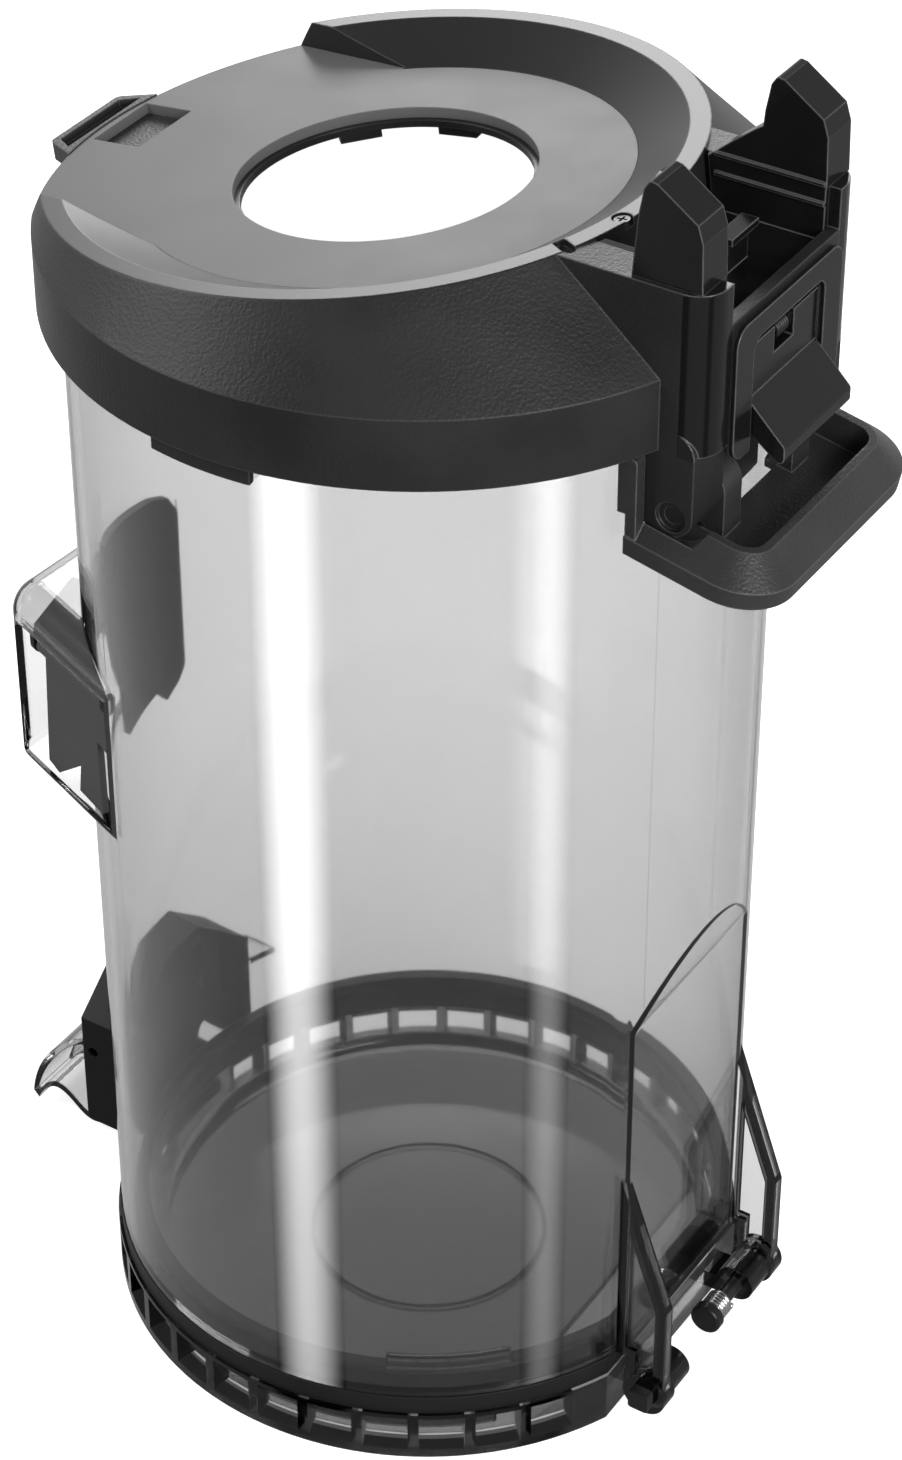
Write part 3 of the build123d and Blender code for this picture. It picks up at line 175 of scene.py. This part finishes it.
class Nodes:
    """Short calls to add and join the nodes of a material or of the world."""

    def __init__(self, owner, output="OutputMaterial"):
        owner.use_nodes = True
        self.owner = owner
        self.tree = owner.node_tree
        self.tree.nodes.clear()
        self.output = self.add(output)

    def add(self, kind, **values):
        """Adds a shader node; a value is a number, a colour or a socket to join."""
        node = self.tree.nodes.new("ShaderNode" + kind)
        for key, value in values.items():
            if key.startswith("_"):
                setattr(node, key[1:], value)
            else:
                self.put(node.inputs[key.replace("_", " ")], value)
        return node

    def put(self, socket, value):
        """Sets a socket, or joins it to another."""
        if isinstance(value, bpy.types.NodeSocket):
            self.tree.links.new(value, socket)
        else:
            socket.default_value = value

    def math(self, operation, first, second=None):
        """Math node's result."""
        node = self.add("Math", _operation=operation)
        self.put(node.inputs[0], first)
        if second is not None:
            self.put(node.inputs[1], second)
        return node.outputs[0]

    def dot(self, first, second):
        """Scalar product of two vectors."""
        node = self.add("VectorMath", _operation="DOT_PRODUCT")
        self.put(node.inputs[0], first)
        self.put(node.inputs[1], second)
        return node.outputs["Value"]

    def mix(self, factor, first, second):
        """Mix of two colours."""
        node = self.add("Mix", _data_type="RGBA")
        self.put(node.inputs["Factor"], factor)
        self.put(node.inputs["A"], first)
        self.put(node.inputs["B"], second)
        return node.outputs["Result"]

    def ramp(self, value, low, high, start=0.0, end=1.0):
        """Straight change from start to end while value goes from low to high."""
        node = self.add("MapRange", From_Min=low, From_Max=high, To_Min=start, To_Max=end, Value=value)
        node.clamp = True
        return node.outputs["Result"]

    def combine(self, kind, first, second, **values):
        """Two shaders mixed or added."""
        node = self.add(kind, **values)
        shaders = [socket for socket in node.inputs if socket.type == "SHADER"]
        self.put(shaders[0], first)
        self.put(shaders[1], second)
        return node.outputs["Shader"]

    def finish(self, surface):
        """Joins the surface to the output."""
        self.put(self.output.inputs["Surface"], surface)
        return self.owner


def new_material(name):
    """Nodes of a new material."""
    return Nodes(bpy.data.materials.new(name))


def grey(level):
    """Grey colour with full alpha."""
    return (level, level, level, 1.0)


def place(make):
    """Position in the object's own space, in metres."""
    return make.add("TexCoord").outputs["Object"]


def axis(make, name):
    """One coordinate of the position, X, Y or Z."""
    return make.add("SeparateXYZ", Vector=place(make)).outputs[name]


def above(make, value, limit, soft=0.15 * MM):
    """1 where value passes limit, 0 below it."""
    return make.ramp(value, limit - soft, limit + soft)


def opposite(make, value):
    """1 less a value."""
    return make.math("SUBTRACT", 1.0, value)


def below(make, value, limit):
    """1 where value stays under limit, 0 past it."""
    return opposite(make, above(make, value, limit))


def both(make, first, second):
    """Product of two masks."""
    return make.math("MULTIPLY", first, second)


def either(make, first, second):
    """Larger of two masks."""
    return make.math("MAXIMUM", first, second)


def blend(make, mask, first, second):
    """Number that is first where the mask is 0 and second where it is 1."""
    return make.math("ADD", both(make, first, opposite(make, mask)), both(make, mask, second))


def radius_from(make, centre_x, squeeze=1.0):
    """Distance from an upright axis on the X line."""
    across = both(make, make.math("SUBTRACT", axis(make, "X"), centre_x), squeeze)
    along = axis(make, "Y")
    return make.math("SQRT", make.math("ADD", both(make, across, across), both(make, along, along)))


def noise(make, scale, detail=3.0, roughness=0.5):
    """Noise value; scale is per metre."""
    node = make.add("TexNoise", Vector=place(make), Scale=scale, Detail=detail, Roughness=roughness)
    return node.outputs["Fac"]


def varied(make, pattern, darkest, lightest, low=0.3, high=0.7):
    """Grey that follows a pattern between two levels."""
    return make.mix(make.ramp(pattern, low, high), grey(darkest), grey(lightest))


def soft_edge(make, radius):
    """Normal rounded over a small radius at sharp edges."""
    node = make.add("Bevel", Radius=radius)
    node.samples = 4
    return node.outputs["Normal"]


def bump(make, height, distance, strength, normal):
    """Bumped normal."""
    node = make.add("Bump", Height=height, Distance=distance, Strength=strength, Normal=normal)
    return node.outputs["Normal"]


def edge_mask(make, radius):
    """Near 1 at sharp edges and 0 on open faces."""
    sharp = make.add("NewGeometry").outputs["Normal"]
    return make.ramp(make.dot(sharp, soft_edge(make, radius)), 0.995, 0.90)


def opaque(make, tint, rough, **values):
    """Finished material with one Principled shader."""
    shader = make.add("BsdfPrincipled", Base_Color=tint, Roughness=rough, **values)
    return make.finish(shader.outputs["BSDF"])


def grained_plastic(name, colour, depth, zones=None):
    """Black moulded plastic with a leather grain, paler along its edges: a painted highlight that partly also
    stands for wear.

    zones makes two masks: the plastic is satin where the first is 1 and polished where the second is.
    """
    make = new_material(name)
    cells = make.add("TexVoronoi", Vector=place(make), Scale=GRAIN_SCALE, _feature="SMOOTH_F1")
    fine = noise(make, FINE_GRAIN_SCALE, 2.0)
    height = make.math("ADD", cells.outputs["Distance"], both(make, fine, 0.5))
    edges = edge_mask(make, EDGE_RADIUS)
    blotch = noise(make, BLOTCH_SCALE)
    base = varied(make, blotch, colour * 0.85, colour * 1.15, 0.35, 0.65)
    mottle = make.math("ADD", blotch, both(make, fine, 0.4))
    rough = make.ramp(mottle, 0.4, 1.0, GRAIN_ROUGHNESS - 0.05, GRAIN_ROUGHNESS + 0.07)
    # Painted highlight: the edges are lightened, partly also for wear
    tint = make.mix(both(make, edges, 0.6), base, grey(colour * WEAR_AND_GLINT_EDGE_LIFT))
    if zones is not None:
        satin, polished = zones(make)
        # Painted highlights along the satin and polished edges
        satin_tint = make.mix(edges, grey(colour), grey(colour * SATIN_EDGE_GLINT))
        polished_tint = make.mix(edges, grey(POLISHED_BLACK), grey(POLISHED_EDGE_GLINT))
        tint = make.mix(polished, make.mix(satin, tint, satin_tint), polished_tint)
        rough = blend(make, satin, rough, SATIN_ROUGHNESS)
        rough = blend(make, polished, rough, POLISHED_ROUGHNESS)
        height = both(make, height, both(make, opposite(make, polished), opposite(make, satin)))
    normal = bump(make, height, depth, 0.6, soft_edge(make, EDGE_RADIUS))
    return opaque(make, tint, rough, Normal=normal, IOR=1.45)


def collar_zones(make):
    """The rim with the slanted wall inside it, and the polished corners of the latch tower."""
    high = axis(make, "Z")
    inside = below(make, radius_from(make, RIM_CENTRE_X, RIM_SQUEEZE), RIM_RADIUS)
    rim = both(make, inside, above(make, high, RIM_LOW))
    front = above(make, axis(make, "X"), PILLAR_FRONT)
    side = above(make, make.math("ABSOLUTE", axis(make, "Y")), PILLAR_SIDE)
    pillar = both(make, both(make, front, side), above(make, high, PILLAR_LOW))
    return rim, pillar


def smooth_plastic(name, colour, roughness, edge_glint=2.0, wobble=0.06, ior=1.45):
    """Smooth moulded plastic with faint flow marks, softened edges and a painted highlight along them."""
    make = new_material(name)
    flow = noise(make, FLOW_SCALE, 4.0)
    edges = edge_mask(make, EDGE_RADIUS)
    base = varied(make, flow, colour * 0.93, colour * 1.07)
    # Painted highlight: the edges are lightened to a multiple of the colour
    tint = make.mix(edges, base, grey(colour * edge_glint))
    rough = make.ramp(flow, 0.3, 0.7, roughness, roughness + wobble)
    pitting = noise(make, PITTING_SCALE, 2.0)
    normal = bump(make, pitting, PITTING_DEPTH, 0.25, soft_edge(make, SMOOTH_EDGE_RADIUS))
    return opaque(make, tint, rough, Normal=normal, IOR=ior)


def steel(name, colour, roughness):
    """Bright drawn wire and turned pins."""
    make = new_material(name)
    streak = noise(make, STREAK_SCALE, 2.0)
    rough = make.ramp(streak, 0.3, 0.7, roughness, roughness + 0.12)
    tint = varied(make, streak, colour * 0.85, colour, 0.35)
    return opaque(make, tint, rough, Metallic=1.0)


def clear_plastic(name, tint, shadow_tint, painted_edge_dark, roughness=0.03, zones=None, base_shade_share=1.0):
    """Smoke-grey clear plastic that lets lamps through, with painted dark lines along its edges in place of
    the shade that refraction gives there.

    zones makes a mask and the tint where it is 1; base_shade_share is the share of the tint left at the base,
    a painted shade that darkens the plastic towards its base.
    """
    make = new_material(name)
    cloud = noise(make, CLOUD_SCALE)
    scratches = make.ramp(noise(make, SCRATCH_SCALE, 5.0, 0.7), 0.62, 0.80)
    rough = make.ramp(scratches, 0.0, 1.0, roughness, roughness + SCRATCH_ROUGHNESS)
    colour = varied(make, cloud, tint * 0.985, tint)
    # Painted shade: darker towards the base, fading out at SHADE_TOP
    colour = make.mix(make.ramp(axis(make, "Z"), 0.0, SHADE_TOP), grey(tint * base_shade_share), colour)
    if zones is not None:
        mask, level = zones(make)
        colour = make.mix(mask, colour, level)
    # Painted shade: dark lines along the edges, standing in for refraction
    colour = make.mix(edge_mask(make, CLEAR_EDGE_RADIUS), colour, grey(painted_edge_dark))
    shader = make.add("BsdfPrincipled", Base_Color=colour, Roughness=rough, IOR=1.46)
    shader.inputs["Transmission Weight"].default_value = 1.0
    through = make.add("BsdfTransparent", Color=grey(shadow_tint))
    path = make.add("LightPath")
    lamp_ray = either(make, path.outputs["Is Shadow Ray"], path.outputs["Is Diffuse Ray"])
    bent = path.outputs["Is Transmission Ray"]
    mirrored = both(make, path.outputs["Is Glossy Ray"], opposite(make, bent))
    outside = opposite(make, make.add("NewGeometry").outputs["Backfacing"])
    passed = either(make, outside, make.ramp(path.outputs["Transparent Depth"], 0.4, 0.6))
    unseen = either(make, lamp_ray, both(make, mirrored, passed))
    return make.finish(make.combine("MixShader", shader.outputs["BSDF"], through.outputs["BSDF"], Fac=unseen))


def door_zones(make):
    """Posts, bead and groove of the base door, which look black, and its darker floor."""
    radius = radius_from(make, 0.0)
    height = axis(make, "Z")
    inside_bead = below(make, radius, BEAD_OUTER)
    posts = both(make, above(make, radius, POST_RADIUS), below(make, height, POST_TOP))
    bead = both(make, above(make, radius, BEAD_INNER), inside_bead)
    floor_part = both(make, below(make, height, DOOR_FLOOR_TOP), inside_bead)
    groove = both(make, above(make, radius, GROOVE_INNER), below(make, radius, GROOVE_OUTER))
    dark = either(make, posts, both(make, groove, floor_part))
    level = make.mix(dark, make.mix(floor_part, grey(BEAD_GREY), grey(DOOR_FLOOR_GREY)), grey(POST_GREY))
    return either(make, posts, either(make, floor_part, bead)), level


def ear_zones(make):
    """The thick rims of the hinge ears and their eyes, which look black."""
    across = make.math("ABSOLUTE", axis(make, "Y"))
    from_ear = make.math("ABSOLUTE", make.math("SUBTRACT", across, EAR_MIDDLE))
    rim = both(make, above(make, from_ear, EAR_RIM_START), below(make, from_ear, EAR_RIM_END))
    return both(make, rim, above(make, axis(make, "X"), EAR_BACK_X)), grey(EAR_RIM_GREY)


def reflected(make, path):
    """1 once the ray has been reflected."""
    return make.math("GREATER_THAN", path.outputs["Glossy Depth"], 0.5)


def seen_directly(make, path):
    """1 for what the camera sees, also through clear plastic, and 0 after any reflection."""
    through = both(make, path.outputs["Is Transmission Ray"], opposite(make, reflected(make, path)))
    return either(make, path.outputs["Is Camera Ray"], through)


def floor_material():
    """Pale matte floor that reads white where it is lit and keeps the shadow."""
    make = new_material("floor")
    diffuse = make.add("BsdfDiffuse", Color=grey(FLOOR_GREY))
    seen = seen_directly(make, make.add("LightPath"))
    glow = make.add("Emission", Color=grey(1.0), Strength=both(make, seen, FLOOR_GLOW))
    return make.finish(make.combine("AddShader", diffuse.outputs["BSDF"], glow.outputs["Emission"]))


def card_material(strength):
    """Bright card that only reflections see, brightest along its middle and dimmer low down."""
    make = new_material("card")
    spot = make.add("SeparateXYZ", Vector=make.add("TexCoord").outputs["Generated"])
    arch = make.math("SINE", both(make, spot.outputs["X"], math.pi))
    wave = make.math("POWER", arch, 1.6)
    fade = make.ramp(spot.outputs["Z"], 0.22, 0.38, 0.42, 1.0)
    glow = both(make, both(make, wave, fade), strength)
    return make.finish(make.add("Emission", Color=grey(1.0), Strength=glow).outputs["Emission"])


def dress(name, material):
    """Gives a CAD node its material."""
    slots = nodes[name].data.materials
    slots.clear()
    slots.append(material)


# Light and surroundings


def make_world():
    """White behind the object; in reflections a white rear wall, a dim front and a dark ceiling."""
    world = bpy.data.worlds.new("studio")
    bpy.context.scene.world = world
    make = Nodes(world, "OutputWorld")
    ray = make.add("TexCoord").outputs["Generated"]
    heading = math.radians(BACK_HEADING)
    rear = make.dot(ray, (math.cos(heading), math.sin(heading), 0.0))
    up = make.add("SeparateXYZ", Vector=ray).outputs["Z"]
    upper = make.ramp(rear, 0.0, 0.75, FRONT_LEVEL, BACK_LEVEL)
    upper = both(make, upper, make.ramp(up, 0.42, 0.68, 1.0, CEILING_SHARE))
    lower = make.ramp(rear, 0.40, 0.80, LOW_FRONT_LEVEL, LOW_BACK_LEVEL)
    in_upper = make.ramp(up, -0.25, 0.0)
    lower = both(make, lower, opposite(make, in_upper))
    mirrored = make.math("ADD", both(make, upper, in_upper), lower)
    path = make.add("LightPath")
    later = both(make, path.outputs["Is Transmission Ray"], reflected(make, path))
    level = both(make, either(make, path.outputs["Is Glossy Ray"], later), mirrored)
    soft = both(make, path.outputs["Is Diffuse Ray"], WORLD_LIGHT)
    total = either(make, either(make, level, soft), seen_directly(make, path))
    make.finish(make.add("Background", Color=grey(1.0), Strength=total).outputs["Background"])


def make_floor():
    """Large pale floor."""
    half = FLOOR_HALF
    level = -0.2 * MM
    corners = [(-half, -half, level), (half, -half, level), (half, half, level), (-half, half, level)]
    floor = quad("floor", corners)
    floor.data.materials.append(floor_material())
    floor.visible_glossy = False


def light_group(name, members, excluded=False):
    """Collection of CAD nodes that a light reaches, or that it leaves out."""
    collection = bpy.data.collections.new(name)
    for member in members:
        collection.objects.link(nodes[member])
    if excluded:
        for entry in collection.collection_objects:
            entry.light_linking.link_state = "EXCLUDE"
    return collection


def reflection_card(name, heading, width, strength, receivers, distance=2.0, low=-3.0, high=1.2):
    """Upright card at a heading about the object, seen only in its receivers; angles in degrees."""
    start = math.radians(heading - width / 2)
    end = math.radians(heading + width / 2)
    near = (distance * math.cos(start), distance * math.sin(start))
    far = (distance * math.cos(end), distance * math.sin(end))
    card = quad(name, [(*near, low), (*far, low), (*far, high), (*near, high)])
    card.data.materials.append(card_material(strength))
    for flag in ("camera", "diffuse", "transmission", "shadow", "volume_scatter"):
        setattr(card, "visible_" + flag, False)
    card.light_linking.receiver_collection = receivers


def make_lights():
    """Soft studio lamps and the two upright cards whose reflections stripe the clear wall."""
    area_lamp("key", (-1.1, -0.7, 1.3), (0, 0, 0.25), size=0.9, power=13.0)
    area_lamp("fill", (1.2, -0.5, 0.8), (0, 0, 0.2), size=0.7, power=18.0)
    back = area_lamp("back", (-0.70, 1.15, 0.82), (0, 0, 0.28), size=0.6, power=7.5)
    left_out = light_group("out_of_back_lamp", POLISHED_PIECES, excluded=True)
    back.light_linking.receiver_collection = left_out
    clear_pieces = light_group("clear_pieces", ["bin_wall"])
    reflection_card("card_left", TO_CAMERA - 44.0, width=27.0, strength=15.0, receivers=clear_pieces)
    reflection_card("card_right", TO_CAMERA + 42.0, width=17.0, strength=4.0, receivers=clear_pieces)


# Finer pieces


def helix(name, centre, radius, wire, turns, length, steps=28):
    """Round wire wound along Y about a centre, as a mesh tube."""
    points = []
    count = int(turns * steps)
    for step in range(count + 1):
        angle = 2 * math.pi * step / steps
        along = length * (step / count - 0.5)
        offset = Vector((radius * math.cos(angle), along, radius * math.sin(angle)))
        points.append(Vector(centre) + offset)
    return tube(name, points, wire / 2)


def tube(name, points, radius, sides=10):
    """Closed round tube through points."""
    shape = bmesh.new()
    rings = []
    side = None
    for index, point in enumerate(points):
        before = points[max(index - 1, 0)]
        after = points[min(index + 1, len(points) - 1)]
        ahead = (after - before).normalized()
        if side is None:
            side = ahead.orthogonal().normalized()
        side = (side - ahead * side.dot(ahead)).normalized()
        up = ahead.cross(side)
        ring = []
        for corner in range(sides):
            turn = 2 * math.pi * corner / sides
            ring.append(shape.verts.new(point + radius * (math.cos(turn) * side + math.sin(turn) * up)))
        rings.append(ring)
    for first, second in zip(rings, rings[1:]):
        for corner in range(sides):
            follow = (corner + 1) % sides
            shape.faces.new((first[corner], first[follow], second[follow], second[corner]))
    shape.faces.new(list(reversed(rings[0])))
    shape.faces.new(rings[-1])
    bmesh.ops.recalc_face_normals(shape, faces=shape.faces)
    mesh = bpy.data.meshes.new(name)
    shape.to_mesh(mesh)
    shape.free()
    mesh.polygons.foreach_set("use_smooth", [True] * len(mesh.polygons))
    return link_object(name, mesh)


def wound_spring(node, body, wire, turns, material):
    """Wire spring in place of a CAD spring that lies along Y."""
    low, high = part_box(node)
    centre = [(a + b) / 2 for a, b in zip(low, high)]
    outer = (high[2] - low[2]) / 2
    length = high[1] - low[1] - wire
    spring = helix(node + "_wire", centre, outer - wire / 2, wire, turns, length)
    spring.data.materials.append(material)
    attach(spring, body)
    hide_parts(node)


bpy.context.scene.view_settings.view_transform = "Standard"
make_camera()
make_world()
make_floor()
make_lights()

clear_wall = clear_plastic("clear_wall", 0.66, 0.76, painted_edge_dark=0.03, zones=ear_zones, base_shade_share=0.78)
clear_lever = clear_plastic("clear_lever", 0.60, 0.70, painted_edge_dark=0.02)
clear_door = clear_plastic("clear_door", 0.62, 0.60, painted_edge_dark=0.04, roughness=0.10, zones=door_zones)
collar = grained_plastic("collar_grain", 0.014, 0.10 * MM, zones=collar_zones)
grain = grained_plastic("leather_grain", 0.028, 0.14 * MM)
# The edge lift of each smooth plastic is a painted highlight, strongest on the gloss black
gloss = smooth_plastic("gloss_black", 0.006, 0.12, edge_glint=22.0, wobble=0.04)
satin_black = smooth_plastic("satin_black", 0.010, 0.32, edge_glint=3.0)
guide_black = smooth_plastic("guide_black", 0.006, 0.30, edge_glint=3.0, ior=1.25)
plate = smooth_plastic("plate_grey", 0.12, 0.42, edge_glint=1.5, ior=1.3)
rubber = smooth_plastic("seal_rubber", 0.006, 0.50)
flap_rubber = smooth_plastic("flap_rubber", 0.050, 0.50, edge_glint=1.5)
bright = steel("bright_steel", 0.80, 0.16)
dark_steel = steel("dark_steel", 0.10, 0.35)

FINISH = {
    "bin_wall": clear_wall,
    "seal_clip": clear_lever,
    "latch_lever": clear_lever,
    "base_door": clear_door,
    "top_collar": collar,
    "rear_tab": grain,
    "grip": grain,
    "tower_cover": gloss,
    "front_bezel": gloss,
    "release_lever": gloss,
    "outlet_plate": plate,
    "outlet_ring": satin_black,
    "inlet_guide": guide_black,
    "latch_housing": guide_black,
    "latch_keeper": satin_black,
    "spring_cap": satin_black,
    "collar_seal": rubber,
    "door_seal": rubber,
    "inlet_flap": flap_rubber,
    "cover_screw": dark_steel,
    "latch_screws": dark_steel,
    "hinge_stub": dark_steel,
    "hinge_spindle": dark_steel,
    "grip_pins": dark_steel,
    "release_pin": dark_steel,
    "release_spring": dark_steel,
}
for node_name in nodes:
    dress(node_name, FINISH.get(node_name, bright))

wound_spring("hinge_spring", "bin", 1.2 * MM, 5.0, bright)
